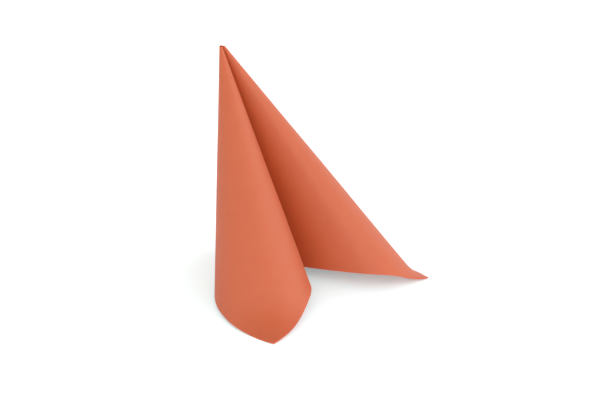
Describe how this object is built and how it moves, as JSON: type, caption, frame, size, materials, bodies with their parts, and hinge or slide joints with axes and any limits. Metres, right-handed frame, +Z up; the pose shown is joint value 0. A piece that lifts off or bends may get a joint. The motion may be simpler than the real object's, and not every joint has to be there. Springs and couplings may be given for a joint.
{
  "type": "folded paper napkin",
  "caption": "Plain matte paper napkin folded and stood on a table as a tall point, with a rounded hollow front lobe and a pointed side wing.",
  "frame": {"origin": "on the table, under the middle of the standing napkin", "axes": "+Z up from the table; the front lobe's corner points along -Y and the side wing's corner along +X"},
  "size_m": [0.1942, 0.1948, 0.2006],
  "materials": {
    "napkin_paper": "matte"
  },
  "bodies": {
    "root": {"folded_napkin": "napkin_paper"}
  },
  "joints": []
}
